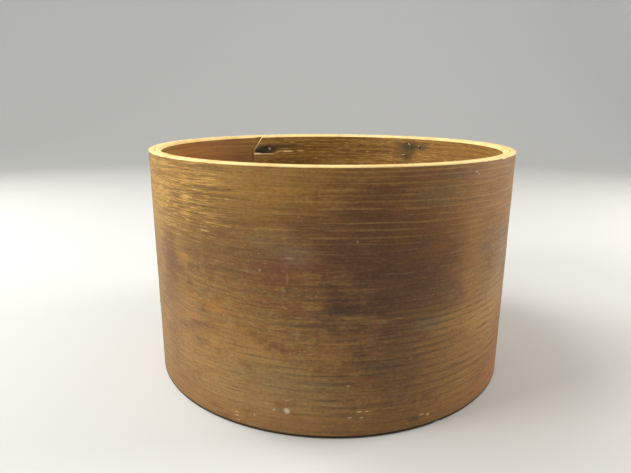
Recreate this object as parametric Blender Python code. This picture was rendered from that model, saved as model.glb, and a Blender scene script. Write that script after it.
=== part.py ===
"""Bare bentwood snare drum shell, stripped of its heads, hoops and fittings.

One steam-bent plank is lapped and tacked into a round wall. A bent reinforcing ring lines it at
the top and another at the bottom, and each ring is lapped and nailed as well. Both ends of the
wall are cut to bearing edges: a small round-over outside, a flat crown and a 45 degree cut inside.

Frame: Z is the drum's axis, the bottom bearing edge lies on Z = 0, and -Y is the front. Bearings
are degrees round the axis, from the back (+Y) towards the right (+X).
"""

from dataclasses import dataclass
from math import cos, pi, radians, sin, sqrt

import bmesh
import bpy
from mathutils import Matrix, Vector

# Driving dimensions, in metres
SHELL_DIAMETER = 0.4064
SHELL_HEIGHT = 0.2476
SHELL_THICKNESS = 0.0062
RING_THICKNESS = 0.0063
RING_HEIGHT = 0.0508
GLUE_LINE = 0.0003
EDGE_ROUND = 0.0013
EDGE_CUT = 0.003
VENT_DIAMETER = 0.010

# Laps, in degrees round the axis
SHELL_LAP_BEARING = 31.0
SHELL_LAP = 15.0
RING_END_BEARING = -36.7
RING_LAP = 21.0
STATION_STEP = 3.75
END_FADE = 12.0         # length of plank over which a slanted end straightens out
RAMP = 0.5              # length of the step from a feathered end to the full thickness

# Nails and tacks
NAIL_SIDES = 8
HOLE_CLEARANCE = 0.0003
HOLE_MOUTH = 0.002      # how far a hole's cutter stands out of the surface it starts in
TACK_HEAD_RADIUS = 0.0022
TACK_HEAD_DEPTH = 0.0008
TACK_SHANK_RADIUS = 0.0009
TACK_SINK = 0.0001      # how far a tack's head lies below the shell's surface
CLINCH_LENGTH = 0.0034
RING_NAIL_HEAD_RADIUS = 0.0027
RING_NAIL_HEAD_DEPTH = 0.0009
RING_NAIL_SHANK_RADIUS = 0.0009
RING_NAIL_LENGTH = 0.0106
RING_NAIL_RISE = 0.0005  # how far a ring nail's head stands proud of the ring

SHELL_RADIUS = SHELL_DIAMETER / 2
SHELL_INNER = SHELL_RADIUS - SHELL_THICKNESS
RING_OUTER = SHELL_INNER - GLUE_LINE
RING_INNER = RING_OUTER - RING_THICKNESS

# Seam tacks: bearing, distance from the nearer bearing edge, and turn of the clinched point.
# Those within a ring's height go through the ring as well, the others only through the lap.
EDGE_TACKS = ((37.8, 0.0121, 40.0), (42.1, 0.0125, -75.0), (35.3, 0.0264, 5.0), (41.0, 0.0395, 80.0))
WALL_TACKS = ((36.0, 0.0640, -10.0), (41.5, 0.0800, 60.0), (35.6, 0.0980, 20.0), (41.2, 0.1150, -60.0))

# Ring nails: degrees along the lap from the ring's visible end, and distance from the edge
RING_NAILS = ((7.9, 0.0198), (6.4, 0.0420))

COLLECTION = "bentwood_snare_drum_shell"


@dataclass
class Plank:
    """A plank bent round the axis, its inner end lapping over its outer end."""

    outer: float            # radius of its outer face
    inner: float            # radius of its inner face
    bottom: float
    top: float
    start: float            # bearing of its inner end
    lap: float
    feather: float          # thickness at the tips of both ends
    proud: float            # how far its inner end stands in from the inner face
    breaks: tuple           # radii where its edge profile changes
    cut_top: bool           # whether its top edge is part of a bearing edge
    cut_bottom: bool
    corner: float           # height above which its inner end is cut off at a slant
    slant: float            # degrees that the slant takes off at the top edge
    end_slope: float        # degrees that the tip's face leans back


def finish_mesh(bm, name):
    bmesh.ops.recalc_face_normals(bm, faces=bm.faces)
    mesh = bpy.data.meshes.new(name)
    bm.to_mesh(mesh)
    bm.free()
    return mesh


def lowest_face(bm):
    return min(bm.faces, key=lambda face: face.calc_center_median().z)


def mix(first, second, share):
    return first + (second - first) * share


def at_bearing(radius, bearing, height):
    angle = radians(bearing)
    return Vector((radius * sin(angle), radius * cos(angle), height))


def edge_drop(radius):
    """How far a bearing edge lies below its crown at this radius."""
    into_round = min(radius - (SHELL_RADIUS - EDGE_ROUND), EDGE_ROUND)
    if into_round > 0:
        return EDGE_ROUND - sqrt(EDGE_ROUND**2 - into_round**2)
    return max(RING_INNER + EDGE_CUT - radius, 0)


def plank_faces(plank, along):
    """Radii of the plank's outer and inner face, `along` degrees from its inner end."""
    end = plank.inner - plank.proud
    if along <= plank.lap:
        share = along / plank.lap
        return (mix(end + plank.feather, plank.outer - plank.feather - GLUE_LINE, share),
                mix(end, plank.inner, share))
    if along < 360:
        return plank.outer, plank.inner
    share = (along - 360) / plank.lap
    return plank.outer, mix(end + plank.feather + GLUE_LINE, plank.outer - plank.feather, share)


def plank_stations(plank):
    """Degrees along the plank at which its sections stand."""
    plain_start = plank.lap + RAMP
    plain_end = 360 - RAMP
    steps = round((plain_end - plain_start) / STATION_STEP)
    stations = [mix(plain_start, plain_end, step / steps) for step in range(steps + 1)]
    lap_steps = round(plank.lap / STATION_STEP)
    lap = [plank.lap * step / lap_steps for step in range(lap_steps + 1)]
    return lap + stations + [360 + along for along in lap]


def section_radii(plank, outer, inner):
    """Radii across the plank from its outer to its inner face, one at each break of its profile."""
    margin = 0.05 * (outer - inner)
    last = len(plank.breaks) + 1
    radii = [outer]
    for place, radius in enumerate(plank.breaks, start=1):
        highest = outer - margin * place
        lowest = inner + margin * (last - place)
        radii.append(min(max(radius, lowest), highest))
    return radii + [inner]


def plank_section(bm, plank, along):
    """The vertices round the plank's section at one station, from the top outer corner inwards."""
    outer, inner = plank_faces(plank, along)
    radii = section_radii(plank, outer, inner)
    top = [(radius, plank.top - edge_drop(radius) * plank.cut_top) for radius in radii]
    bottom = [(radius, plank.bottom + edge_drop(radius) * plank.cut_bottom) for radius in radii]
    outline = top + [(inner, plank.corner)] + bottom[::-1] + [(outer, plank.corner)]
    fade = max(0, 1 - along / END_FADE)
    vertices = []
    for radius, height in outline:
        above = max(0, height - plank.corner) / (plank.top - plank.corner)
        lean = plank.end_slope * (outer - radius) / (outer - inner)
        bearing = plank.start + along + fade * (plank.slant * above + lean)
        vertices.append(bm.verts.new(at_bearing(radius, bearing, height)))
    return vertices


def bent_plank(name, plank, material, collection):
    """A plank lofted through its sections, closed by an upper and a lower face at each end."""
    bm = bmesh.new()
    sections = [plank_section(bm, plank, along) for along in plank_stations(plank)]
    count = len(sections[0])
    for first, second in zip(sections, sections[1:]):
        for place in range(count):
            following = (place + 1) % count
            bm.faces.new((first[place], first[following], second[following], second[place]))
    across = len(plank.breaks) + 2
    for section in (sections[0], sections[-1]):
        bm.faces.new(section[:across + 1] + section[-1:])
        bm.faces.new(section[across:])
    return add_part(name, finish_mesh(bm, name), material, collection)


def extend(bm, face, scale, step, bend=0.0):
    """Extrude a face, then shrink it, tip it by `bend` radians and move it by `step`."""
    result = bmesh.ops.extrude_discrete_faces(bm, faces=[face])
    face = result["faces"][0]
    centre = face.calc_center_median()
    move = Matrix.Translation(centre + Vector(step)) @ Matrix.Rotation(bend, 4, "Y")
    shape = move @ Matrix.Scale(scale, 4) @ Matrix.Translation(-centre)
    bmesh.ops.transform(bm, matrix=shape, verts=face.verts)
    return face


def nail_mesh(name, head_radius, head_depth, shank_radius, length, clinch):
    """A nail down -Z with the top of its head at the origin, its point clinched towards +X."""
    bm = bmesh.new()
    bmesh.ops.create_cone(bm, cap_ends=True, segments=NAIL_SIDES, radius1=head_radius,
                          radius2=head_radius * 0.7, depth=head_depth)
    bmesh.ops.translate(bm, verts=bm.verts, vec=(0, 0, -head_depth / 2))
    face = extend(bm, lowest_face(bm), shank_radius / head_radius, (0, 0, 0))
    straight = length - head_depth
    if clinch:
        turn = 1.3 * shank_radius
        face = extend(bm, face, 1.0, (0, 0, -straight))
        face = extend(bm, face, 0.95, (0.3 * turn, 0, -0.7 * turn), bend=-radians(40))
        face = extend(bm, face, 0.9, (0.8 * turn, 0, -0.3 * turn), bend=-radians(45))
        extend(bm, face, 0.3, (clinch, 0, 0))
    else:
        face = extend(bm, face, 1.0, (0, 0, -straight * 0.75))
        extend(bm, face, 0.2, (0, 0, -straight * 0.25))
    return finish_mesh(bm, name)


def hole_mesh(name, head_radius, head_depth, shank_radius, length):
    """The hole for a nail: a pocket for the head and a bore for the shank, wider all round."""
    bm = bmesh.new()
    radius = head_radius + HOLE_CLEARANCE
    depth = head_depth + HOLE_CLEARANCE + HOLE_MOUTH
    bmesh.ops.create_cone(bm, cap_ends=True, segments=NAIL_SIDES, radius1=radius,
                          radius2=radius, depth=depth)
    bmesh.ops.translate(bm, verts=bm.verts, vec=(0, 0, HOLE_MOUTH - depth / 2))
    face = extend(bm, lowest_face(bm), (shank_radius + HOLE_CLEARANCE) / radius, (0, 0, 0))
    extend(bm, face, 1.0, (0, 0, head_depth + HOLE_CLEARANCE - length))
    return finish_mesh(bm, name)


def add_part(name, mesh, material, collection):
    part = bpy.data.objects.new(name, mesh)
    mesh.shade_smooth()
    mesh.set_sharp_from_angle(angle=radians(35))
    if material and not mesh.materials:
        mesh.materials.append(material)
    collection.objects.link(part)
    return part


def add_cutter(name, mesh, matrix, collection):
    cutter = bpy.data.objects.new(name, mesh)
    cutter.hide_render = True
    cutter.display_type = "WIRE"
    cutter.matrix_world = matrix
    collection.objects.link(cutter)


def driven(bearing, height, radius, inwards, turn=0.0):
    """Placing for a nail whose head's top lies at `radius`, driven towards or away from the axis."""
    outward = at_bearing(1, bearing, 0)
    up_nail = outward if inwards else -outward
    along = Vector((0, 0, 1)).cross(up_nail)
    frame = Matrix((along, up_nail.cross(along), up_nail)).transposed().to_4x4()
    return Matrix.Translation(at_bearing(radius, bearing, height)) @ frame @ Matrix.Rotation(
        radians(turn), 4, "Z")


def cut(part, cutters):
    modifier = part.modifiers.new("holes", "BOOLEAN")
    modifier.operation = "DIFFERENCE"
    modifier.operand_type = "COLLECTION"
    modifier.collection = cutters
    modifier.solver = "EXACT"


def make_material(name, color, roughness, metallic=0.0):
    material = bpy.data.materials.new(name)
    material.use_nodes = True
    shader = material.node_tree.nodes["Principled BSDF"]
    shader.inputs["Base Color"].default_value = (*color, 1)
    shader.inputs["Roughness"].default_value = roughness
    shader.inputs["Metallic"].default_value = metallic
    return material


def make_wood(materials, collection, cutters):
    """The shell's wall and its two reinforcing rings."""
    round_over = tuple(SHELL_RADIUS - EDGE_ROUND * (1 - cos(pi / 6 * step)) for step in (1, 2, 3))
    shell = Plank(outer=SHELL_RADIUS, inner=SHELL_INNER, bottom=0, top=SHELL_HEIGHT,
                  start=SHELL_LAP_BEARING, lap=SHELL_LAP, feather=0.001, proud=0,
                  breaks=round_over, cut_top=True, cut_bottom=True,
                  corner=SHELL_HEIGHT / 2, slant=0, end_slope=0)
    top_ring = Plank(outer=RING_OUTER, inner=RING_INNER, bottom=SHELL_HEIGHT - RING_HEIGHT,
                     top=SHELL_HEIGHT, start=RING_END_BEARING, lap=RING_LAP, feather=0.0012,
                     proud=0.0015, breaks=(RING_INNER + EDGE_CUT,), cut_top=True,
                     cut_bottom=False, corner=SHELL_HEIGHT - 0.0208, slant=4.6, end_slope=0.4)
    bottom_ring = Plank(outer=RING_OUTER, inner=RING_INNER, bottom=0, top=RING_HEIGHT,
                        start=RING_END_BEARING, lap=RING_LAP, feather=0.0012,
                        proud=0.0015, breaks=(RING_INNER + EDGE_CUT,), cut_top=False,
                        cut_bottom=True, corner=RING_HEIGHT / 2, slant=0, end_slope=0.4)
    for name, plank, material in (("shell", shell, materials["shell"]),
                                  ("top_ring", top_ring, materials["ring"]),
                                  ("bottom_ring", bottom_ring, materials["ring"])):
        part = bent_plank(name, plank, material, collection)
        cut(part, cutters)
    return top_ring


def make_seam_tacks(material, collection, cutters):
    """Tacks driven in through the shell's lap, their points clinched on the inside."""
    sizes = (TACK_HEAD_RADIUS, TACK_HEAD_DEPTH, TACK_SHANK_RADIUS)
    head = SHELL_RADIUS - TACK_SINK
    clear = GLUE_LINE + TACK_SHANK_RADIUS
    for kind, inner, tacks in (("edge", RING_INNER, EDGE_TACKS), ("wall", SHELL_INNER, WALL_TACKS)):
        length = head - inner + clear
        nail = nail_mesh(f"seam_tack_{kind}", *sizes, length, CLINCH_LENGTH)
        hole = hole_mesh(f"seam_tack_hole_{kind}", *sizes, length + 0.004)
        for side in ("top", "bottom"):
            for number, (bearing, inset, turn) in enumerate(tacks, start=1):
                height = SHELL_HEIGHT - inset if side == "top" else inset
                place = driven(bearing, height, head, True, turn)
                name = f"seam_tack_{side}_{kind}_{number}"
                add_part(name, nail, material, collection).matrix_world = place
                add_cutter(f"{name}_hole", hole, place, cutters)


def make_ring_nails(ring, material, collection, cutters):
    """Nails driven outwards through each ring's lap, stopping inside the shell."""
    sizes = (RING_NAIL_HEAD_RADIUS, RING_NAIL_HEAD_DEPTH, RING_NAIL_SHANK_RADIUS)
    nail = nail_mesh("ring_nail", *sizes, RING_NAIL_LENGTH, 0)
    hole = hole_mesh("ring_nail_hole", *sizes, RING_NAIL_LENGTH + HOLE_CLEARANCE)
    for side in ("top", "bottom"):
        for number, (along, inset) in enumerate(RING_NAILS, start=1):
            height = SHELL_HEIGHT - inset if side == "top" else inset
            surface = plank_faces(ring, along)[1]
            place = driven(ring.start + along, height, surface - RING_NAIL_RISE, False)
            name = f"{side}_ring_nail_{number}"
            add_part(name, nail, material, collection).matrix_world = place
            add_cutter(f"{name}_hole", hole, place, cutters)


def make_vent_hole(cutters):
    """A plain air hole through the back of the wall, half way up."""
    bpy.ops.mesh.primitive_cylinder_add(vertices=16, radius=VENT_DIAMETER / 2,
                                        depth=4 * SHELL_THICKNESS)
    drill = bpy.context.object
    mesh = drill.data
    bpy.data.objects.remove(drill)
    add_cutter("vent_hole", mesh, driven(0, SHELL_HEIGHT / 2, SHELL_INNER, True), cutters)


def main():
    for old in list(bpy.data.objects):
        bpy.data.objects.remove(old)
    collection = bpy.data.collections.new(COLLECTION)
    cutters = bpy.data.collections.new("nail_and_vent_holes")
    for each in (collection, cutters):
        bpy.context.scene.collection.children.link(each)
    materials = {
        "shell": make_material("dark_stained_ash", (0.16, 0.085, 0.04), 0.6),
        "ring": make_material("aged_ash_ring", (0.24, 0.13, 0.055), 0.65),
        "iron": make_material("rusted_iron", (0.09, 0.06, 0.045), 0.6, 0.7),
    }
    ring = make_wood(materials, collection, cutters)
    make_seam_tacks(materials["iron"], collection, cutters)
    make_ring_nails(ring, materials["iron"], collection, cutters)
    make_vent_hole(cutters)


main()
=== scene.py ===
"""Looks for the bare bentwood snare drum shell: aged planks, cut bearing edges and rusted iron.

Bearings are degrees round the drum's axis, from the back (+Y) towards the right (+X). A plank is
modelled straight, with its length along X, its width along Y and its thickness along Z, and is
then bent round the axis. Where each point lay in the straight plank is kept as the attribute
"grain", so that the wood's pattern runs along the bent plank.
"""

from math import cos, pi, radians, sin, sqrt

import bmesh
import bpy
from mathutils import Matrix, Vector, noise


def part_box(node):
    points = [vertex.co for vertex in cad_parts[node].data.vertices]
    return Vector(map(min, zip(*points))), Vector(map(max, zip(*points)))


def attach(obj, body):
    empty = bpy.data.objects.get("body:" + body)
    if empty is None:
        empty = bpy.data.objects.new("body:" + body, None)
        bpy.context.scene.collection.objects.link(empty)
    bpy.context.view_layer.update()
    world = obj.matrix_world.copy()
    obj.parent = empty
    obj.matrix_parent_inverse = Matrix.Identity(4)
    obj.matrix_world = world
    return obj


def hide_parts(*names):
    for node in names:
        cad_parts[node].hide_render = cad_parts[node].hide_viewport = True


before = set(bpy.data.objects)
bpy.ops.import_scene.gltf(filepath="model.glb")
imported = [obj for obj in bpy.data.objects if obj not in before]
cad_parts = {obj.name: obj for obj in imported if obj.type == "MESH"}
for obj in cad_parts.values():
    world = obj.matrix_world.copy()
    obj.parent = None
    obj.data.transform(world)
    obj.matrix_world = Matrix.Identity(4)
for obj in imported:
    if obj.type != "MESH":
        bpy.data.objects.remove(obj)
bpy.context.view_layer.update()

MM = 0.001
TOUCH = 1e-6            # points nearer than this lie on the same face

# The drum's sizes. Radii match the CAD's, whose faceted walls only come near them.
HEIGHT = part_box("shell")[1].z
RING_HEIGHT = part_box("bottom_ring")[1].z
RADIUS = 203.2 * MM
SHELL_THICKNESS = 6.2 * MM
RING_THICKNESS = 6.3 * MM
GLUE_LINE = 0.3 * MM
EDGE_ROUND = 1.3 * MM
EDGE_CUT = 3.0 * MM
VENT_RADIUS = 5 * MM
SHELL_INNER = RADIUS - SHELL_THICKNESS
RING_OUTER = SHELL_INNER - GLUE_LINE
RING_INNER = RING_OUTER - RING_THICKNESS

STEPS = 400             # sections along each plank
EDGE_BLEND = 8 * MM     # depth over which rows give way to a bearing edge
CREASE = radians(38)    # faces that meet at a sharper turn than this show an edge
GLUED_WEAR = 0.3        # how weathered a plank's glued faces and edges are
NOISE_GAIN = 1.6        # brings Blender's noise to a range of about -1 to 1
HOOP_BAND_TOP = 13 * MM
HOOP_BAND_BOTTOM = 23 * MM
PATCH_DEPTH = 2.5 * MM  # how deep a patch of stain soaks in


def mix(first, second, share):
    return first + (second - first) * share


def clamp(value, low=0.0, high=1.0):
    return max(low, min(high, value))


def smooth(value):
    value = clamp(value)
    return value * value * (3 - 2 * value)


def bearings_apart(first, second):
    """Degrees between two bearings, the shorter way round."""
    return abs((first - second + 180) % 360 - 180)


def linear(code):
    """Linear RGBA of an sRGB hex colour."""
    parts = [int(code[place:place + 2], 16) / 255 for place in (1, 3, 5)]
    return [*(p / 12.92 if p <= 0.04045 else ((p + 0.055) / 1.055) ** 2.4 for p in parts), 1]


def add(tree, kind, inputs=None, **settings):
    """Add a shader node with its settings, and fill its inputs with values or links."""
    made = tree.nodes.new("ShaderNode" + kind)
    for name, value in settings.items():
        setattr(made, name, value)
    for key, value in (inputs or {}).items():
        if isinstance(value, bpy.types.NodeSocket):
            tree.links.new(value, made.inputs[key])
        else:
            made.inputs[key].default_value = value
    return made


def start_material(name):
    material = bpy.data.materials.new(name)
    material.use_nodes = True
    return material, material.node_tree, material.node_tree.nodes["Principled BSDF"]


# Planks --------------------------------------------------------------------------------------

class Plank:
    """A plank bent round the axis, its inner end lapping over its outer end."""

    def __init__(self, outer, thickness, bottom, top, start, lap, feather, proud):
        self.outer = outer
        self.thickness = thickness
        self.inner = outer - thickness
        self.bottom = bottom
        self.top = top
        self.width = top - bottom
        self.start = start
        self.lap = lap
        self.feather = feather
        self.proud = proud
        self.length = radians(360 + lap) * outer

    def faces(self, along):
        """Radii of the outer and inner face, `along` degrees from the inner end."""
        end = self.inner - self.proud
        if along <= self.lap:
            share = along / self.lap
            return (mix(end + self.feather, self.outer - self.feather - GLUE_LINE, share),
                    mix(end, self.inner, share))
        if along < 360:
            return self.outer, self.inner
        share = (along - 360) / self.lap
        return self.outer, mix(end + self.feather + GLUE_LINE, self.outer - self.feather, share)

    def grain_place(self, bearing, height):
        """Where a point of the bent plank lay in the straight one: length, width and depth."""
        return radians((bearing - self.start) % 360) * self.outer, height - self.bottom, 0


SHELL = Plank(RADIUS, SHELL_THICKNESS, 0, HEIGHT, start=31.0, lap=15.0, feather=1.0 * MM, proud=0)
TOP_RING = Plank(RING_OUTER, RING_THICKNESS, HEIGHT - RING_HEIGHT, HEIGHT, start=-36.7, lap=21.0,
                 feather=1.2 * MM, proud=1.5 * MM)
BOTTOM_RING = Plank(RING_OUTER, RING_THICKNESS, 0, RING_HEIGHT, start=-36.7, lap=21.0,
                    feather=1.2 * MM, proud=1.5 * MM)


def edge_drop(radius, face):
    """How far a bearing edge lies below its crown here, on a plank whose inner face is here."""
    into_round = min(radius - (RADIUS - EDGE_ROUND), EDGE_ROUND)
    if into_round > 0:
        return EDGE_ROUND - sqrt(EDGE_ROUND**2 - into_round**2)
    return max(min(face, RING_INNER) + EDGE_CUT - radius, 0)


def straight_plank(plank, depths, outer_rows, inner_rows):
    """A closed straight plank: its section's outline, drawn out along X and capped at both ends."""
    bm = bmesh.new()
    first = plank.width / (outer_rows + 1)
    outer = [mix(plank.width - first, first, row / (outer_rows - 1)) for row in range(outer_rows)]
    first = plank.width / (inner_rows + 1)
    inner = [mix(first, plank.width - first, row / (inner_rows - 1)) for row in range(inner_rows)]
    outline = ([(0, across) for across in outer] + [(depth, 0) for depth in depths]
               + [(plank.thickness, across) for across in inner]
               + [(depth, plank.width) for depth in reversed(depths)])
    loop = [bm.verts.new((0, across, depth)) for depth, across in outline]
    edges = [bm.edges.new(pair) for pair in zip(loop, loop[1:] + loop[:1])]
    drawn = bmesh.ops.extrude_edge_only(bm, edges=edges)["geom"]
    moved = [part for part in drawn if isinstance(part, bmesh.types.BMVert)]
    bmesh.ops.translate(bm, verts=moved, vec=(plank.length, 0, 0))
    lengthwise = [edge for edge in bm.edges if edge.verts[0].co.x != edge.verts[1].co.x]
    bmesh.ops.subdivide_edges(bm, edges=lengthwise, cuts=STEPS - 1)
    for reach in (0, plank.length):
        end = [edge for edge in bm.edges
               if all(abs(vert.co.x - reach) < TOUCH for vert in edge.verts)]
        cap = bmesh.ops.contextual_create(bm, geom=end)["faces"]
        bmesh.ops.triangulate(bm, faces=cap)
    bmesh.ops.recalc_face_normals(bm, faces=bm.faces)
    return bm


def bore(bm, place, radius, depth):
    """Drill a round hole through a straight plank, and return the drilled one."""
    drill = bmesh.new()
    bmesh.ops.create_cone(drill, cap_ends=True, segments=32, radius1=radius, radius2=radius,
                          depth=depth * 3, matrix=Matrix.Translation((*place, depth / 2)))
    stock = []
    for shape in (bm, drill):
        mesh = bpy.data.meshes.new("stock")
        shape.to_mesh(mesh)
        shape.free()
        stock.append(bpy.data.objects.new("stock", mesh))
        bpy.context.scene.collection.objects.link(stock[-1])
    cut = stock[0].modifiers.new("bore", "BOOLEAN")
    cut.operation = "DIFFERENCE"
    cut.solver = "EXACT"
    cut.object = stock[1]
    graph = bpy.context.evaluated_depsgraph_get()
    bored = bmesh.new()
    bored.from_object(stock[0], graph)
    for piece in stock:
        bpy.data.meshes.remove(piece.data)
    bmesh.ops.triangulate(bored, faces=[face for face in bored.faces if len(face.verts) > 4])
    return bored


def long_noise(place, length, width, seed):
    """Noise from about -1 to 1 whose features are this long and this wide, in millimetres."""
    scaled = Vector((place.x / (length * MM), place.y / (width * MM), seed))
    return noise.noise(scaled) * NOISE_GAIN


def bend(bm, plank, name, surface, shift):
    """Bend a straight plank round the axis.

    `surface` gives how far a point on the outer or inner face sinks into the wood, and two
    measures that are kept as attributes: how weathered it is there, from 0 to 1, and how wide
    open a split's lip is. `shift` moves a point, once its height across the plank is settled, in
    degrees along the plank and in metres across and into it.
    """
    grain = bm.verts.layers.float_vector.new("grain")
    weathering = bm.verts.layers.float.new("worn")
    split_lip = bm.verts.layers.float.new("lip")
    top_cut = plank.top > HEIGHT - TOUCH
    bottom_cut = plank.bottom < TOUCH
    for vert in bm.verts:
        flat = vert.co.copy()
        vert[grain] = flat
        along = flat.x / plank.length * (360 + plank.lap)
        outer, inner = plank.faces(along)
        sunk, vert[weathering], vert[split_lip] = surface(flat, along)
        radius = mix(outer, inner, flat.z / plank.thickness)
        drop = edge_drop(radius, inner)
        across = flat.y
        if top_cut:
            across -= drop * smooth((flat.y - plank.width + EDGE_BLEND) / EDGE_BLEND)
        if bottom_cut:
            across += drop * smooth((EDGE_BLEND - flat.y) / EDGE_BLEND)
        turn, rise, into = shift(flat, along, across)
        if flat.z < TOUCH:
            radius -= sunk
        elif flat.z > plank.thickness - TOUCH:
            radius += sunk
        radius += into
        angle = radians(plank.start + along + turn)
        vert.co = (radius * sin(angle), radius * cos(angle), plank.bottom + across + rise)
    mark_cut_faces(bm, grain, plank, top_cut, bottom_cut)
    bmesh.ops.recalc_face_normals(bm, faces=bm.faces)
    mesh = bpy.data.meshes.new(name)
    bm.to_mesh(mesh)
    bm.free()
    mesh.shade_smooth()
    mesh.set_sharp_from_angle(angle=CREASE)
    piece = bpy.data.objects.new(name, mesh)
    bpy.context.scene.collection.objects.link(piece)
    return piece


def mark_cut_faces(bm, grain, plank, top_cut, bottom_cut):
    """The attribute "cut" is 1 on the freshly cut bearing edges and on the rings' ends.

    The rounded corner the drum stands on is left out, so that it keeps the painted contact shadow
    laid along the foot.
    """
    cut = bm.faces.layers.float.new("cut")
    for face in bm.faces:
        widths = [vert[grain].y for vert in face.verts]
        lengths = [vert[grain].x for vert in face.verts]
        depths = [vert[grain].z for vert in face.verts]
        on_top = top_cut and min(widths) > plank.width - TOUCH
        on_bottom = bottom_cut and max(widths) < TOUCH and max(depths) > EDGE_ROUND + TOUCH
        at_end = max(lengths) < TOUCH or min(lengths) > plank.length - TOUCH
        face[cut] = 1.0 if on_top or on_bottom or (at_end and plank is not SHELL) else 0.0


# Shell ---------------------------------------------------------------------------------------

WORN_AND_LIT_SIDE = 228             # bearing of the drum's worn left, which faces the key light
WORN_BACK = 20
OPEN_GRAIN = 0.26 * MM      # depth of the worn grain's grooves
DENT = 0.2 * MM
CHIP_DEPTH = 3.2 * MM       # how far into the wall a chip in its edge reaches
NICK = 0.6 * MM
CROWN_ROWS = (2.4, 3.6, 4.9)    # depths in millimetres of the rows along the edge's flat crown
# One larger chip in each outer edge: bearing, half length in degrees and height
TOP_CHIP = (127.0, 1.4, 0.9 * MM)
BOTTOM_CHIP = (148.8, 1.8, 1.3 * MM)


def wear_and_highlight(bearing, height):
    """How weathered the outside is: most on the drum's left, least on its right. The shell's colour
    also uses it to paint highlight on the crests where the key light rakes the left.
    """
    on_left = smooth(1.25 - bearings_apart(bearing, WORN_AND_LIT_SIDE) / 46)
    at_back = smooth(1.2 - bearings_apart(bearing, WORN_BACK) / 70)
    towards_top = smooth((height - 125 * MM) / (90 * MM))
    return 0.15 + 0.85 * max(on_left, 0.6 * at_back) * mix(0.60, 1.0, towards_top)


def under_hoop(height):
    """Up to 1 in the smoother bands where the two hoops pressed on the shell, most at the foot."""
    return max(0.4 - 0.4 * smooth((HEIGHT - height - HOOP_BAND_TOP) / (3 * MM) + 0.5),
               1 - smooth((height - HOOP_BAND_BOTTOM) / (4 * MM) + 0.5))


def shell_surface(flat, along):
    """The stained outside: open grain, dents, and smoother bands where the hoops lay."""
    if TOUCH < flat.z < SHELL_THICKNESS - TOUCH:
        return 0, GLUED_WEAR, 0
    worn = wear_and_highlight((SHELL.start + along) % 360, flat.y)
    sway = Vector((flat.x, flat.y + 4 * MM * long_noise(flat, 300, 80, 5), 0))
    ridge = clamp(0.5 + 0.6 * long_noise(sway, 55, 3.6, 1))
    dents = clamp(long_noise(flat, 42, 26, 3))
    depth = (1 - ridge) * OPEN_GRAIN * worn + dents * DENT
    return depth * mix(1, 0.3, under_hoop(flat.y)), worn, 0


def shell_shift(flat, along, across):
    """Nicks along the outer edges, and one larger chip broken out of each."""
    on_top = flat.y > HEIGHT - TOUCH
    if flat.z > CHIP_DEPTH or not (on_top or flat.y < TOUCH):
        return 0, 0, 0
    bearing, half_length, height = TOP_CHIP if on_top else BOTTOM_CHIP
    chip = smooth(1 - abs((SHELL.start + along) % 360 - bearing) / half_length) * height
    nick = clamp(long_noise(flat, 9, 400, 8) - 0.6) * NICK
    loss = (nick + chip) * (1 - flat.z / CHIP_DEPTH)
    return 0, -loss if on_top else loss, 0


def make_shell():
    """The wall, with a vent hole drilled half way up the back."""
    round_over = [EDGE_ROUND * (1 - cos(pi / 8 * step)) for step in range(5)]
    depths = round_over + [depth * MM for depth in CROWN_ROWS] + [SHELL_THICKNESS]
    bm = straight_plank(SHELL, depths, outer_rows=140, inner_rows=44)
    vent = SHELL.grain_place(0, HEIGHT / 2)[:2]
    bm = bore(bm, vent, VENT_RADIUS, SHELL_THICKNESS)
    piece = bend(bm, SHELL, "shell_wall", shell_surface, shell_shift)
    piece.data.materials.append(stained_ash())
    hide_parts("shell")
    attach(piece, "root")


# Rings ---------------------------------------------------------------------------------------

RING_CORNER = 30.0 * MM     # height in the top ring above which its end is cut off at a slant
RING_SLANT = 4.8            # degrees that the slant takes off at the top edge
RING_END_SLOPE = 0.4        # degrees that the end's face leans back
RING_END_FADE = 12          # degrees over which the end's slant dies away
RING_GRAIN = 0.2 * MM       # depth of the grain's grooves
CRACK_HEIGHT = 26.3 * MM    # height in the ring of the split along its grain
CRACK_DEPTH = 2.6 * MM
CRACK_FADE = 14 * MM        # how far from the split the grain bends with it
CRACK_BELOW = 2.2 * MM      # the lower lip slopes in over this width
CRACK_ABOVE = 0.9 * MM
# The split's course: degrees from the ring's end, height above or below its start in
# millimetres, and opening
CRACK = ((0, 0.0, 1.0), (2.6, -0.3, 0.95), (4.0, -1.1, 0.55), (9.3, -2.0, 0.6), (10.4, -1.7, 0.3),
         (12.2, 1.9, 0.5), (14.2, 2.0, 0.25), (14.8, 1.9, 0.8), (18.6, 1.5, 0.7),
         (19.4, 1.7, 0.1), (21.0, 2.1, 0.1), (21.6, 2.3, 0.5), (24.0, 2.5, 0.4),
         (25.2, 2.4, 0.0), (360, 2.4, 0.0))


def crack_at(along):
    """Height and opening of the split at this many degrees from the ring's end."""
    for (first, low, narrow), (second, high, wide) in zip(CRACK, CRACK[1:]):
        if along <= second:
            share = (along - first) / (second - first)
            return mix(low, high, share) * MM, mix(narrow, wide, share)
    return 0, 0


def ring_surface(flat, along):
    """Bare wood inside: rougher towards the visible end, smoother towards the hidden one."""
    if flat.z < RING_THICKNESS - TOUCH:
        return 0, GLUED_WEAR, 0
    rough = mix(1.0, 0.25, smooth((along - 250) / 80))
    sway = Vector((flat.x, flat.y + 3 * MM * long_noise(flat, 260, 40, 15), 0))
    ridge = clamp(0.5 + 0.6 * long_noise(sway, 60, 3.0, 11))
    return (1 - ridge) * RING_GRAIN * rough, rough, 0


def top_ring_surface(flat, along):
    """As the other ring's, with the split's lower lip painted pale: painted highlight where the lip
    catches the light from above.
    """
    sunk, rough, lip = ring_surface(flat, along)
    below = CRACK_HEIGHT - flat.y
    if flat.z > RING_THICKNESS - TOUCH and -0.1 * MM < below < CRACK_BELOW:
        lip = crack_at(along)[1]
    return sunk, rough, lip


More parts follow.
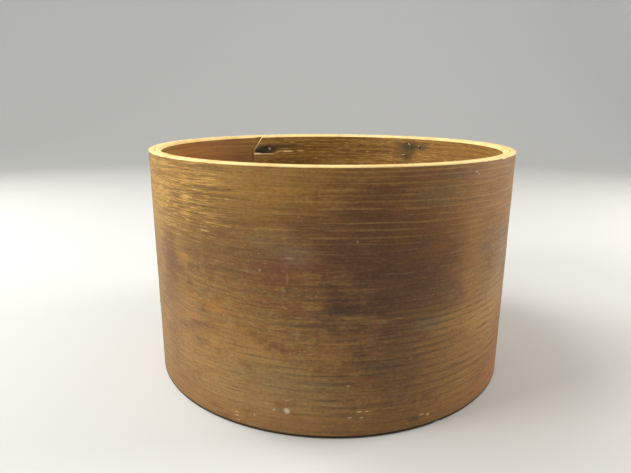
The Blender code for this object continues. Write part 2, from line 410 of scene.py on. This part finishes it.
def top_ring_shift(flat, along, across):
    """The slanted end, its sloping face, and the split along the grain."""
    fade = max(0, 1 - along / RING_END_FADE)
    above = max(0, across - RING_CORNER) / (TOP_RING.width - RING_CORNER)
    turn = fade * (RING_SLANT * above + RING_END_SLOPE * flat.z / RING_THICKNESS)
    offset, opening = crack_at(along)
    from_crack = flat.y - CRACK_HEIGHT
    rise = offset * max(0, 1 - abs(from_crack) / CRACK_FADE)
    if flat.z < RING_THICKNESS - TOUCH:
        return turn, rise, 0
    outer, inner = TOP_RING.faces(along)
    deepest = min(CRACK_DEPTH, (outer - inner) * 0.9)
    reach = CRACK_ABOVE if from_crack > 0 else CRACK_BELOW
    return turn, rise, clamp(1 - abs(from_crack) / reach) * opening * deepest


def bottom_ring_shift(flat, along, across):
    """The end's sloping face."""
    fade = max(0, 1 - along / RING_END_FADE)
    return fade * RING_END_SLOPE * flat.z / RING_THICKNESS, 0, 0


def make_rings():
    cut_depths = [RING_THICKNESS - EDGE_CUT * (1 - step / 4) for step in range(5)]
    depths = [0, 1.6 * MM] + cut_depths
    for name, plank, surface, shift in (
            ("top_ring", TOP_RING, top_ring_surface, top_ring_shift),
            ("bottom_ring", BOTTOM_RING, ring_surface, bottom_ring_shift)):
        bm = straight_plank(plank, depths, outer_rows=12, inner_rows=64)
        piece = bend(bm, plank, name + "_wood", surface, shift)
        piece.data.materials.append(bare_ash(name))
        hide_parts(name)
        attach(piece, "root")


# Materials -----------------------------------------------------------------------------------

GRAIN_SWAY = 14 * MM        # how far the grain wanders up and down in all
RINGS_PER_METRE = 118       # growth rings in the plank's width, near the bottom
RINGS_CLOSING = 140         # and how fast that number grows towards the top
RUST_GRIT = 1.4 * MM


def grain_noise(tree, place, sizes, detail=2.0, rough=0.5):
    """Noise whose features have these sizes along, across and through the plank, in mm."""
    stretch = [1 / (size * MM) for size in sizes]
    stretched = add(tree, "VectorMath", {0: place, 1: stretch}, operation="MULTIPLY")
    made = add(tree, "TexNoise", {"Vector": stretched.outputs[0], "Scale": 1.0, "Detail": detail,
                                  "Roughness": rough})
    return made.outputs["Fac"]


def lay(tree, under, code, value, low, high, strength=1.0):
    """Lay a colour over another as a value passes from low to high."""
    share = add(tree, "MapRange", {"Value": value, "From Min": low, "From Max": high,
                                   "To Max": strength}, interpolation_type="SMOOTHSTEP")
    # A Mix node takes its two colours at inputs 6 and 7 and gives its result at output 2
    laid = add(tree, "Mix", {0: share.outputs[0], 6: under, 7: linear(code)}, data_type="RGBA")
    return laid.outputs[2]


def patch(tree, under, place, ragged, plank, mark):
    """Lay a ragged oval of colour on a plank; its half sizes are in millimetres."""
    bearing, height, half_length, half_width, code, strength, soft = mark
    centre = plank.grain_place(bearing, height * MM)
    sizes = (1 / (half_length * MM), 1 / (half_width * MM), 1 / PATCH_DEPTH)
    offset = add(tree, "VectorMath", {0: place, 1: centre}, operation="SUBTRACT")
    scaled = add(tree, "VectorMath", {0: offset.outputs[0], 1: sizes}, operation="MULTIPLY")
    far = add(tree, "VectorMath", {0: scaled.outputs[0]}, operation="LENGTH")
    edge = add(tree, "Math", {0: far.outputs["Value"], 1: ragged}, operation="ADD")
    return lay(tree, under, code, edge.outputs[0], 1 + soft, 1 - soft, strength)


# Where the stain has darkened, faded or been rubbed, and one pale strip of painted highlight:
# bearing, height, half length and half width in millimetres, colour, strength and softness of the
# edge
STAINS_AND_PAINTED_HIGHLIGHT = (
    (162, 168, 78, 62, "#4a2a19", 0.85, 0.60),
    (158, 74, 62, 50, "#51301d", 0.60, 0.65),
    (174, 196, 42, 30, "#4d3020", 0.40, 0.60),
    (228, 212, 84, 50, "#a8873f", 0.42, 0.95),
    (213, 229, 62, 18, "#c89a42", 0.40, 0.95),
    (236, 214, 30, 44, "#c99c48", 0.36, 0.95),
    (140, 150, 15, 54, "#a37a32", 0.42, 0.90),
    (230, 150, 14, 34, "#5c3c26", 0.60, 0.80),
    (206, 192, 60, 34, "#6a4522", 0.46, 0.95),
    (203, 155, 18, 16, "#5e3f26", 0.32, 0.95),
    (229, 112, 9, 26, "#6a4630", 0.34, 0.80),
    (226, 92, 30, 30, "#a68050", 0.40, 0.95),
    (193, 24, 52, 20, "#97784c", 0.34, 0.95),
    (230, 54, 9, 28, "#6a4733", 0.40, 0.80),
    # Painted highlight: a tall pale strip standing in for the light along the drum's left edge
    (240, 112, 14, 74, "#ac9562", 0.18, 0.95),
    (221, 156, 12, 5, "#c48a36", 0.34, 0.95),
    (218, 119, 12, 4, "#b27a38", 0.36, 0.90),
    (212, 114, 11, 3, "#b97836", 0.45, 0.80),
    (220, 98, 10, 3, "#b87c3c", 0.44, 0.90),
    (203, 84, 34, 15, "#a9702c", 0.45, 0.85),
    (210, 46, 66, 44, "#b8925a", 0.40, 0.95),
    (191, 158, 26, 13, "#6d3a24", 0.50, 0.60),
    (186, 168, 15, 9, "#70402a", 0.40, 0.60),
    (188, 173, 12, 8, "#807762", 0.32, 0.85),
    (194, 184, 17, 8, "#7c7152", 0.32, 0.85),
    (198, 60, 34, 14, "#7f734c", 0.30, 0.85),
    (189, 48, 24, 10, "#7d7150", 0.30, 0.85),
    (122, 140, 14, 30, "#8b7c66", 0.30, 0.90),
    (129, 118, 20, 14, "#967f62", 0.30, 0.90),
    (147, 101, 26, 8, "#a27e40", 0.50, 0.80),
    (136, 93, 20, 9, "#ae8848", 0.45, 0.80),
    (126, 94, 26, 24, "#b48c50", 0.34, 0.95),
    (141, 66, 56, 52, "#a67c40", 0.52, 0.95),
    (138, 216, 66, 44, "#8a5b14", 0.62, 0.95),
    (166, 208, 60, 30, "#6a4019", 0.30, 0.95),
    (154, 106, 14, 6, "#66634c", 0.40, 0.60),
    (165, 69, 15, 4, "#4a4038", 0.45, 0.80),
    (176, 124, 9, 2.4, "#33292a", 0.52, 0.80),
    (121, 44, 12, 40, "#9c5a26", 0.55, 0.60),
    (126, 14, 40, 20, "#a0602a", 0.50, 0.60),
    (157, 240, 24, 5, "#713820", 0.40, 0.60),
    (148, 239, 18, 5, "#462f20", 0.45, 0.60),
    (153, 223, 24, 10, "#6d6242", 0.35, 0.60),
    (40, 70, 60, 36, "#4a2f20", 0.55, 0.60),
    (75, 190, 70, 40, "#5a3a25", 0.50, 0.60),
    (340, 110, 80, 60, "#4a2e20", 0.55, 0.60),
    (300, 205, 60, 30, "#a2773c", 0.40, 0.60),
    (290, 60, 50, 36, "#6a3d26", 0.45, 0.60),
)
# Small pale chips and scratches through the stain, and a few dark pits, listed the same way
CHIPS = (
    (205, 13.5, 1.9, 0.5, "#d8c08c", 0.72, 0.60),
    (205, 10, 1.7, 0.5, "#d8c08c", 0.72, 0.60),
    (204.5, 5.5, 1.6, 0.5, "#d0b684", 0.72, 0.60),
    (199.5, 15.5, 1.0, 0.9, "#c9bc98", 0.64, 0.60),
    (194, 25, 0.8, 0.7, "#d9d4c0", 0.72, 0.60),
    (196, 30, 2.3, 1.0, "#a59b7c", 0.48, 0.60),
    (190.5, 25.5, 2.6, 2.4, "#cfcab4", 0.68, 0.60),
    (190.5, 36, 1.9, 0.7, "#b0a684", 0.48, 0.60),
    (174.5, 21.5, 2.0, 0.5, "#d8c79c", 0.68, 0.60),
    (172, 27, 2.0, 0.6, "#dcc898", 0.76, 0.60),
    (171.5, 21, 1.7, 0.6, "#cdbb92", 0.64, 0.60),
    (170, 27, 1.7, 0.5, "#dcc898", 0.72, 0.60),
    (154.5, 14, 2.3, 0.6, "#dcc48c", 0.72, 0.60),
    (152.5, 12.5, 1.6, 1.0, "#dcc48c", 0.72, 0.60),
    (141, 238, 1.1, 0.9, "#d2bc8a", 0.56, 0.60),
    (140, 236, 0.9, 0.9, "#c8b284", 0.48, 0.60),
    (175, 53.5, 1.6, 0.8, "#c2b184", 0.52, 0.60),
    (197, 157.5, 0.8, 0.7, "#c9ba8e", 0.45, 0.80),
    (183, 138, 0.9, 0.7, "#b09c74", 0.35, 0.80),
    (189.5, 170.5, 2.4, 1.0, "#a0977c", 0.36, 0.90),
    (190, 152.5, 0.8, 4.6, "#9c8c6c", 0.32, 0.90),
    (190, 143.5, 2.4, 1.7, "#30201c", 0.48, 0.60),
    (173.5, 185.5, 0.6, 1.2, "#bda87e", 0.50, 0.80),
    (160.5, 156, 4.0, 0.6, "#8e7652", 0.36, 0.90),
    (156.5, 11, 6.5, 2.4, "#33251d", 0.48, 0.60),
    (213, 186, 5.0, 0.6, "#dcae5c", 0.64, 0.60),
    (219, 214, 6.5, 0.9, "#e0b060", 0.64, 0.60),
    (217, 205, 3.6, 0.6, "#dcaa58", 0.64, 0.60),
)


def wandering(tree, place):
    """The place in the plank, moved up and down so that its grain isn't ruled straight."""
    sway = grain_noise(tree, place, (260, 90, 1000), 1)
    sway = add(tree, "Math", {0: sway, 1: GRAIN_SWAY, 2: -GRAIN_SWAY / 2},
               operation="MULTIPLY_ADD").outputs[0]
    sway = add(tree, "CombineXYZ", {"Y": sway}).outputs[0]
    return add(tree, "VectorMath", {0: place, 1: sway}, operation="ADD").outputs[0]


def growth_rings(tree, swayed, fibre):
    """A value that runs from 0 to 0.5 and back with each growth ring up the plank's width.

    The rings are 8.5 mm apart near the bottom and 5.5 mm near the top, as the plank's grain
    closes up.
    """
    height = add(tree, "SeparateXYZ", {0: swayed}).outputs[1]
    squared = add(tree, "Math", {0: height, 1: 2.0}, operation="POWER").outputs[0]
    rings = add(tree, "Math", {0: height, 1: RINGS_PER_METRE}, operation="MULTIPLY").outputs[0]
    rings = add(tree, "Math", {0: squared, 1: RINGS_CLOSING, 2: rings},
                operation="MULTIPLY_ADD").outputs[0]
    rings = add(tree, "Math", {0: fibre, 1: 0.5, 2: rings}, operation="MULTIPLY_ADD").outputs[0]
    return add(tree, "Math", {0: rings, 1: 0.5}, operation="PINGPONG").outputs[0]


def lay_rings(tree, colour, rings, height, streaks, mottle, worn):
    """Lay the growth rings over the stain: thin pale lines above, thin dark ones below."""
    upper = add(tree, "MapRange", {"Value": height, "From Min": 120 * MM,
                                   "From Max": 195 * MM}).outputs[0]
    broken = add(tree, "MapRange", {"Value": streaks, "From Min": 0.26,
                                    "From Max": 0.54}).outputs[0]
    pale = add(tree, "Math", {0: rings, 1: upper}, operation="MULTIPLY").outputs[0]
    pale = add(tree, "Math", {0: pale, 1: broken}, operation="MULTIPLY").outputs[0]
    colour = lay(tree, colour, "#aa864a", pale, 0.24, 0.48, 0.36)
    hidden = add(tree, "Math", {0: mottle, 1: 1.1, 2: -0.56}, operation="MULTIPLY_ADD").outputs[0]
    hidden = add(tree, "Math", {0: upper, 1: 0.4, 2: hidden}, operation="MULTIPLY_ADD").outputs[0]
    hidden = add(tree, "Math", {0: worn, 1: 0.28, 2: hidden}, operation="MULTIPLY_ADD").outputs[0]
    dark = add(tree, "Math", {0: rings, 1: hidden}, operation="ADD").outputs[0]
    return lay(tree, colour, "#38241a", dark, 0.22, 0.02, 0.42)


def lay_cut_wood(tree, colour, cut, mottle, speck, spotted):
    """Lay the bearing edges' pale wood, browned in places by hands and heads."""
    raw = lay(tree, linear("#f7de9f"), "#e1b976", mottle, 0.40, 0.70, 0.8)
    raw = lay(tree, raw, "#b98d58", speck, 0.60, 0.74, spotted)
    return add(tree, "Mix", {0: cut, 6: colour, 7: raw}, data_type="RGBA").outputs[2]


def stained_ash():
    """Old ash, dark stained on the outside and dry: open grain, stain worn off its ridges, and
    painted highlight on the ridges of the drum's left.
    """
    material, tree, shader = start_material("stained_ash")
    place = add(tree, "Attribute", attribute_name="grain").outputs["Vector"]
    height, depth = add(tree, "SeparateXYZ", {0: place}).outputs[1:]
    worn = add(tree, "Attribute", attribute_name="worn").outputs["Fac"]
    cut = add(tree, "Attribute", attribute_name="cut").outputs["Fac"]

    # Ash's fibres and pores are finer than these, which are drawn about twice as coarse
    swayed = wandering(tree, place)
    fibre = grain_noise(tree, swayed, (42, 1.6, 12), 3, 0.6)
    pores = grain_noise(tree, swayed, (17, 1.0, 6), 3)
    streaks = grain_noise(tree, swayed, (75, 3.0, 30), 3, 0.65)
    blotch = grain_noise(tree, swayed, (11, 5, 30), 3, 0.6)
    dashes = grain_noise(tree, swayed, (6, 1.3, 8), 2)
    rubbed = grain_noise(tree, place, (10, 60, 60), 3, 0.6)
    mottle = grain_noise(tree, place, (34, 20, 60), 5, 0.66)
    broad = grain_noise(tree, place, (150, 70, 200), 3)
    speck = grain_noise(tree, place, (3.2, 2.4, 6), 2)

    colour = lay(tree, linear("#705028"), "#8f6b34", streaks, 0.36, 0.66)
    colour = lay(tree, colour, "#6e3d20", mottle, 0.50, 0.66, 0.65)
    colour = lay(tree, colour, "#82734a", mottle, 0.46, 0.32, 0.50)
    colour = lay(tree, colour, "#99702f", broad, 0.52, 0.66, 0.5)
    colour = lay(tree, colour, "#593f25", broad, 0.46, 0.34, 0.5)
    # Small blotches of red and olive where the stain dried unevenly, and short bright dashes
    colour = lay(tree, colour, "#6f3c1d", blotch, 0.54, 0.68, 0.60)
    colour = lay(tree, colour, "#8b7d52", blotch, 0.46, 0.32, 0.55)
    colour = lay(tree, colour, "#c89244", dashes, 0.60, 0.74, 0.75)
    colour = lay(tree, colour, "#8e5c0e", height, 165 * MM, 225 * MM, 0.36)
    # Handling has rubbed the stain in soft smears that cross the grain
    colour = lay(tree, colour, "#533621", rubbed, 0.54, 0.74, 0.30)
    colour = lay(tree, colour, "#a68248", rubbed, 0.46, 0.28, 0.20)
    ragged = add(tree, "Math", {0: mottle, 1: 3.4, 2: -2.3}, operation="MULTIPLY_ADD").outputs[0]
    ragged = add(tree, "Math", {0: streaks, 1: 1.2, 2: ragged}, operation="MULTIPLY_ADD").outputs[0]
    for mark in STAINS_AND_PAINTED_HIGHLIGHT:
        colour = patch(tree, colour, place, ragged, SHELL, mark)

    rings = growth_rings(tree, swayed, fibre)
    colour = lay_rings(tree, colour, rings, height, streaks, mottle, worn)

    # Dark fibres, and the pale crests between them: stain rubbed off, with painted highlight that is
    # strongest on the drum's left, where the key light rakes
    colour = lay(tree, colour, "#46301c", fibre, 0.46, 0.30, 0.55)
    colour = lay(tree, colour, "#a47c48", fibre, 0.58, 0.72, 0.35)
    crests = add(tree, "Math", {0: streaks, 1: 0.5, 2: 0.73}, operation="MULTIPLY_ADD").outputs[0]
    crests = add(tree, "Math", {0: crests, 1: worn}, operation="MULTIPLY").outputs[0]
    crests = add(tree, "Math", {0: crests, 1: pores}, operation="MULTIPLY").outputs[0]
    hollows = add(tree, "Math", {0: 1.0, 1: streaks}, operation="SUBTRACT").outputs[0]
    hollows = add(tree, "Math", {0: hollows, 1: worn}, operation="MULTIPLY").outputs[0]
    colour = lay(tree, colour, "#5a3c15", hollows, 0.40, 0.60, 0.60)
    # Golden crests, weighted by the wear that peaks on the left: rubbed stain and painted highlight
    colour = lay(tree, colour, "#d6ab52", crests, 0.46, 0.66, 0.66)
    colour = lay(tree, colour, "#8f6f42", speck, 0.46, 0.76, 0.16)
    colour = lay(tree, colour, "#4b3322", speck, 0.54, 0.26, 0.36)
    colour = lay(tree, colour, "#2f1e14", pores, 0.36, 0.26, 0.5)

    # Smoother and paler where the hoops lay, with painted contact shadow along the foot where the
    # drum meets the floor
    hoop_bottom = HOOP_BAND_BOTTOM
    hoop_top = HEIGHT - HOOP_BAND_TOP
    colour = lay(tree, colour, "#8c6236", height, hoop_bottom + 2 * MM, hoop_bottom - 2 * MM, 0.32)
    colour = lay(tree, colour, "#8a683c", height, hoop_top - 2 * MM, hoop_top + 2 * MM, 0.10)
    # Near-black painted contact shadow on the bottom 2.4 mm of the wall
    colour = lay(tree, colour, "#1a110d", height, 2.4 * MM, 0.9 * MM, 0.92)
    ragged = add(tree, "Math", {0: speck, 1: 1.8, 2: -0.9}, operation="MULTIPLY_ADD").outputs[0]
    for mark in CHIPS:
        colour = patch(tree, colour, place, ragged, SHELL, mark)

    # Inside, between the rings, the wood was never stained
    bare = lay(tree, linear("#7c5a32"), "#9a7444", streaks, 0.36, 0.62)
    bare = lay(tree, bare, "#4b3219", pores, 0.40, 0.28, 0.5)
    inside = add(tree, "MapRange", {"Value": depth, "From Min": 2.0 * MM,
                                    "From Max": 4.0 * MM}).outputs[0]
    colour = add(tree, "Mix", {0: inside, 6: colour, 7: bare}, data_type="RGBA").outputs[2]
    colour = lay_cut_wood(tree, colour, cut, mottle, speck, 0.6)
    tree.links.new(colour, shader.inputs["Base Color"])

    shader.inputs["Specular IOR Level"].default_value = 0.35
    rough = add(tree, "MapRange", {"Value": mottle, "From Min": 0.3, "From Max": 0.7,
                                   "To Min": 0.66, "To Max": 0.46}).outputs[0]
    tree.links.new(rough, shader.inputs["Roughness"])
    grooves = add(tree, "Math", {0: fibre, 1: 0.9, 2: crests}, operation="MULTIPLY_ADD").outputs[0]
    grooves = add(tree, "Math", {0: rings, 1: 0.6, 2: grooves}, operation="MULTIPLY_ADD").outputs[0]
    bump = add(tree, "Bump", {"Strength": 0.5, "Distance": 0.5 * MM, "Height": grooves})
    tree.links.new(bump.outputs[0], shader.inputs["Normal"])
    return material


# Stains of rusting iron and old glue inside the top ring, listed the same way
RING_STAINS = (
    (-31.5, 228, 17, 5.6, "#1a1413", 0.93, 0.60),
    (-26, 230, 14, 4.4, "#2a1f1a", 0.75, 0.70),
    (-20, 230, 12, 2.6, "#33271a", 0.55, 0.60),
    (-34, 224.5, 6, 2.4, "#171310", 0.85, 0.50),
    (37.5, 234, 14, 8.0, "#2d2c20", 0.80, 0.55),
    (36, 221, 11, 10.0, "#33301f", 0.70, 0.60),
    (43.5, 233, 9, 7.0, "#3d3a2a", 0.60, 0.60),
    (31.5, 227, 7, 12.0, "#5a4a2c", 0.50, 0.60),
    (-70, 227, 60, 30.0, "#935c22", 0.60, 0.60),
    (-48, 223, 34, 30.0, "#86501e", 0.50, 0.60),
    (70, 227, 70, 40.0, "#805c2a", 0.45, 0.60),
)


def bare_ash(name):
    """A reinforcing ring of unstained ash, browned by age, with pale wood where it is cut."""
    material, tree, shader = start_material("aged_ash_" + name)
    place = add(tree, "Attribute", attribute_name="grain").outputs["Vector"]
    along, height = add(tree, "SeparateXYZ", {0: place}).outputs[:2]
    worn = add(tree, "Attribute", attribute_name="worn").outputs["Fac"]
    cut = add(tree, "Attribute", attribute_name="cut").outputs["Fac"]

    streaks = grain_noise(tree, place, (110, 3.2, 30), 3, 0.6)
    pores = grain_noise(tree, place, (12, 1.4, 6), 2)
    mottle = grain_noise(tree, place, (30, 14, 60), 4, 0.6)
    speck = grain_noise(tree, place, (3.2, 2.4, 6), 2)
    colour = lay(tree, linear("#775326"), "#9f7a3c", streaks, 0.36, 0.64)
    colour = lay(tree, colour, "#6b4324", mottle, 0.50, 0.68, 0.5)
    crests = add(tree, "Math", {0: pores, 1: worn}, operation="MULTIPLY").outputs[0]
    colour = lay(tree, colour, "#d0a45a", crests, 0.54, 0.68, 0.6)
    colour = lay(tree, colour, "#3e2a16", pores, 0.40, 0.28, 0.5)
    if name == "top_ring":
        lip = add(tree, "Attribute", attribute_name="lip").outputs["Fac"]
        ragged = add(tree, "Math", {0: mottle, 1: 2.0, 2: -1.0}, operation="MULTIPLY_ADD").outputs[0]
        inner_face = add(tree, "CombineXYZ", {0: along, 1: height}).outputs[0]
        for mark in RING_STAINS:
            colour = patch(tree, colour, inner_face, ragged, TOP_RING, mark)
        # Painted highlight on the split's lower lip, where it catches the light from above
        colour = lay(tree, colour, "#f0d49a", lip, 0.10, 0.9, 0.95)
        # Below its slant, the end is the plank's old one and has browned
        above_corner = add(tree, "MapRange", {"Value": height, "From Min": RING_CORNER - 1 * MM,
                                              "From Max": RING_CORNER + 1 * MM,
                                              "To Min": 0.35}).outputs[0]
        cut = add(tree, "Math", {0: cut, 1: above_corner}, operation="MULTIPLY").outputs[0]
    colour = lay_cut_wood(tree, colour, cut, mottle, speck, 0.5)
    tree.links.new(colour, shader.inputs["Base Color"])
    shader.inputs["Roughness"].default_value = 0.6
    shader.inputs["Specular IOR Level"].default_value = 0.3
    grooves = add(tree, "Math", {0: streaks, 1: 1.2, 2: crests}, operation="MULTIPLY_ADD").outputs[0]
    bump = add(tree, "Bump", {"Strength": 0.5, "Distance": 0.4 * MM, "Height": grooves})
    tree.links.new(bump.outputs[0], shader.inputs["Normal"])
    return material


def rusted_iron(name, rubbed_spots_and_glint):
    """Hand-cut iron, rusted brown-black, and pale on its high spots: rubbed metal, lightened as
    painted highlight for the iron's glint.
    """
    material, tree, shader = start_material(name)
    place = add(tree, "TexCoord").outputs["Object"]
    grit = add(tree, "TexNoise", {"Vector": place, "Scale": 1 / RUST_GRIT,
                                  "Detail": 3.0}).outputs["Fac"]
    # The pale colour on the high spots is rubbed iron and painted highlight
    colour = lay(tree, linear("#4a3a2c"), rubbed_spots_and_glint, grit, 0.38, 0.54)
    tree.links.new(colour, shader.inputs["Base Color"])
    shader.inputs["Metallic"].default_value = 0.35
    shader.inputs["Roughness"].default_value = 0.45
    bump = add(tree, "Bump", {"Strength": 0.5, "Distance": 0.2 * MM, "Height": grit})
    tree.links.new(bump.outputs[0], shader.inputs["Normal"])
    return material


def dress_nails():
    """The ring nails' flat heads are a pale grey and the tacks' clinched points a pale yellow:
    rubbed iron, lightened as painted highlight for the glint of the metal.
    """
    heads = rusted_iron("rusted_iron_heads", "#a9a49a")
    points = rusted_iron("rusted_iron_points", "#d2bd72")
    for name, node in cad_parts.items():
        if "nail" in name or "tack" in name:
            node.data.materials.clear()
            node.data.materials.append(heads if "nail" in name else points)


# Stage ---------------------------------------------------------------------------------------

FLOOR_GAP = 0.3 * MM        # the drum stands on a few high points of its worn edge


def pale_paper():
    """Matt paper, which takes soft shadows and reflects nothing sharply."""
    material, _, shader = start_material("pale_paper")
    shader.inputs["Base Color"].default_value = linear("#cdd2d8")
    shader.inputs["Roughness"].default_value = 0.9
    return material


def make_cove():
    """A plain pale floor that curves up into a low wall all round."""
    bm = bmesh.new()
    reach, rise, fillet = 3.0, 2.2, 0.9
    turns = [radians(10 * step) for step in range(10)]
    profile = [(0, 0)] + [(reach - fillet + fillet * sin(turn), fillet * (1 - cos(turn)))
                          for turn in turns] + [(reach, rise)]
    line = [bm.verts.new((along, 0, up - FLOOR_GAP)) for along, up in profile]
    edges = [bm.edges.new(pair) for pair in zip(line, line[1:])]
    bmesh.ops.spin(bm, geom=line + edges, axis=(0, 0, 1), angle=2 * pi, steps=96, use_merge=True)
    bmesh.ops.remove_doubles(bm, verts=bm.verts, dist=1 * MM)
    bmesh.ops.recalc_face_normals(bm, faces=bm.faces)
    mesh = bpy.data.meshes.new("cove")
    bm.to_mesh(mesh)
    bm.free()
    mesh.shade_smooth()
    cove = bpy.data.objects.new("cove", mesh)
    bpy.context.scene.collection.objects.link(cove)
    cove.data.materials.append(pale_paper())


def add_lamp(name, place, target, size, power, colour):
    data = bpy.data.lights.new(name, "AREA")
    data.shape = "RECTANGLE"
    data.size, data.size_y = size
    data.energy = power
    data.color = linear(colour)[:3]
    lamp = bpy.data.objects.new(name, data)
    lamp.location = place
    lamp.rotation_euler = (Vector(target) - Vector(place)).to_track_quat("-Z", "Y").to_euler()
    bpy.context.scene.collection.objects.link(lamp)


def light_stage():
    middle = (0, 0, HEIGHT * 0.5)
    add_lamp("key", (-1.7, -0.75, 1.1), middle, (0.7, 0.7), 25.5, "#fff5e2")
    add_lamp("overhead", (-0.9, 0.1, 1.8), middle, (1.0, 1.0), 22, "#fff9ee")
    add_lamp("right", (1.8, 0.35, 0.8), middle, (0.9, 0.9), 32, "#fff2e0")
    add_lamp("left_back", (-1.7, 0.7, 0.9), middle, (0.6, 0.6), 11.5, "#fff6e8")
    world = bpy.data.worlds.new("studio")
    world.use_nodes = True
    background = world.node_tree.nodes["Background"]
    background.inputs["Color"].default_value = linear("#f8f0e1")
    background.inputs["Strength"].default_value = 0.42
    bpy.context.scene.world = world
    bpy.context.scene.view_settings.view_transform = "Standard"


LENS = 29.44
CAMERA_BACK = 610.7 * MM
CAMERA_ABOVE = 50.0 * MM    # above the drum's top
LOOK_DOWN = 14.75           # degrees, as the next two
LOOK_LEFT = 1.62
ROLL = 0.19


def make_camera():
    """In front of the drum and a little above it, looking down at it."""
    data = bpy.data.cameras.new("camera")
    data.lens = LENS
    data.sensor_width = 36
    camera = bpy.data.objects.new("camera", data)
    camera.location = (0, -CAMERA_BACK, HEIGHT + CAMERA_ABOVE)
    tilt = Matrix.Rotation(radians(90 - LOOK_DOWN), 4, "X")
    turn = Matrix.Rotation(radians(LOOK_LEFT), 4, "Z")
    roll = Matrix.Rotation(radians(ROLL), 4, "Z")
    camera.rotation_euler = (turn @ tilt @ roll).to_euler()
    bpy.context.scene.collection.objects.link(camera)
    bpy.context.scene.camera = camera


make_shell()
make_rings()
dress_nails()
make_cove()
light_stage()
make_camera()
